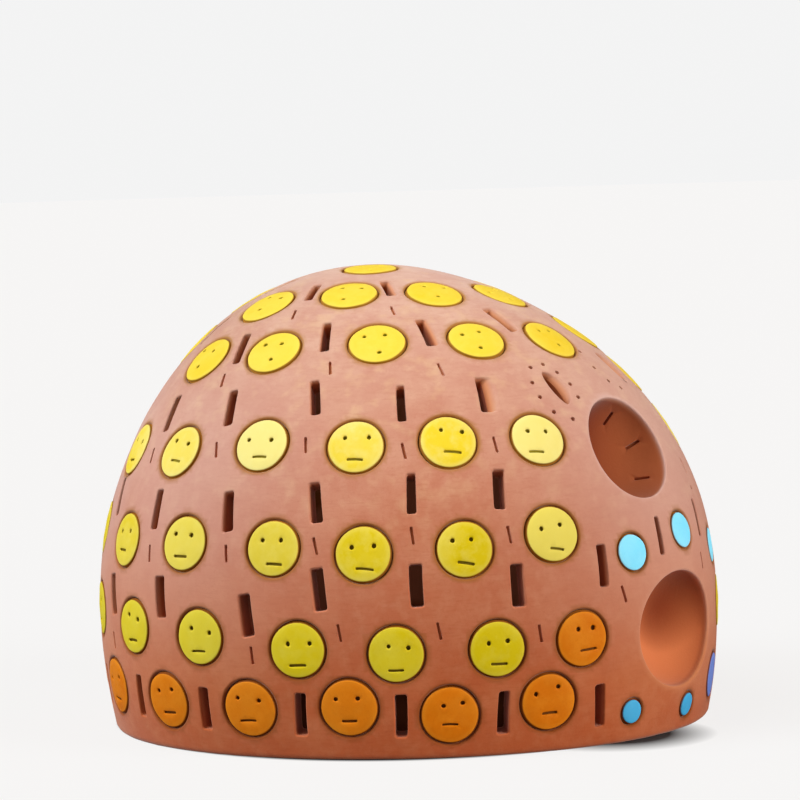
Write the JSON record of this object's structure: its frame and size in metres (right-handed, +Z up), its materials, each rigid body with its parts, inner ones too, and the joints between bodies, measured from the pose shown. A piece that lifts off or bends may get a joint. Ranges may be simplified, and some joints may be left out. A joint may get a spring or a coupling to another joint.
{
  "type": "ceramic head sculpture",
  "caption": "Hollow terracotta head in the form of a low dome, with inlaid round face discs, pierced slots, two eye slits and two pressed bowls.",
  "frame": {"origin": "under the middle of the head, at the level of the foot it stands on", "axes": "+Z up through the crown, -Y the way the face looks, -X the head's own right side"},
  "size_m": [0.25, 0.248, 0.1835],
  "materials": {
    "terracotta": "unglazed, smoothed",
    "orange_clay": "waxy stained clay",
    "olive_clay": "waxy stained clay",
    "lime_clay": "waxy stained clay",
    "lemon_clay": "waxy stained clay",
    "yellow_clay": "waxy stained clay",
    "pale_blue_clay": "waxy stained clay",
    "blue_clay": "waxy stained clay",
    "violet_clay": "waxy stained clay"
  },
  "bodies": {
    "root": {"head_shell": "terracotta", "brow_row_disc_01": "yellow_clay", "brow_row_disc_02": "yellow_clay", "brow_row_disc_03": "yellow_clay", "brow_row_disc_04": "yellow_clay", "brow_row_disc_05": "yellow_clay", "brow_row_disc_06": "yellow_clay", "brow_row_disc_07": "yellow_clay", "crown_row_disc_01": "yellow_clay", "crown_row_disc_02": "yellow_clay", "crown_row_disc_03": "yellow_clay", "crown_row_disc_04": "yellow_clay", "crown_row_disc_05": "yellow_clay", "foot_row_disc_01": "orange_clay", "foot_row_disc_02": "orange_clay", "foot_row_disc_03": "orange_clay", "foot_row_disc_04": "orange_clay", "foot_row_disc_05": "orange_clay", "foot_row_disc_06": "orange_clay", "foot_row_disc_07": "orange_clay", "foot_row_disc_08": "orange_clay", "lower_row_disc_01": "olive_clay", "lower_row_disc_02": "orange_clay", "lower_row_disc_03": "olive_clay", "lower_row_disc_04": "olive_clay", "lower_row_disc_05": "olive_clay", "lower_row_disc_06": "olive_clay", "lower_row_disc_07": "olive_clay", "lower_row_disc_08": "olive_clay", "lower_row_disc_09": "olive_clay", "middle_row_disc_01": "lime_clay", "middle_row_disc_02": "lime_clay", "middle_row_disc_03": "lime_clay", "middle_row_disc_04": "lime_clay", "middle_row_disc_05": "lime_clay", "middle_row_disc_06": "lime_clay", "middle_row_disc_07": "lime_clay", "middle_row_disc_08": "lime_clay", "pale_blue_disc_1": "pale_blue_clay", "pale_blue_disc_2": "pale_blue_clay", "pale_blue_disc_3": "pale_blue_clay", "small_blue_disc_1": "blue_clay", "small_blue_disc_2": "blue_clay", "temple_disc": "yellow_clay", "top_disc": "yellow_clay", "upper_row_disc_01": "lemon_clay", "upper_row_disc_02": "lemon_clay", "upper_row_disc_03": "lemon_clay", "upper_row_disc_04": "lemon_clay", "upper_row_disc_05": "lemon_clay", "upper_row_disc_06": "lemon_clay", "upper_row_disc_07": "lemon_clay", "violet_disc": "violet_clay"}
  },
  "joints": []
}
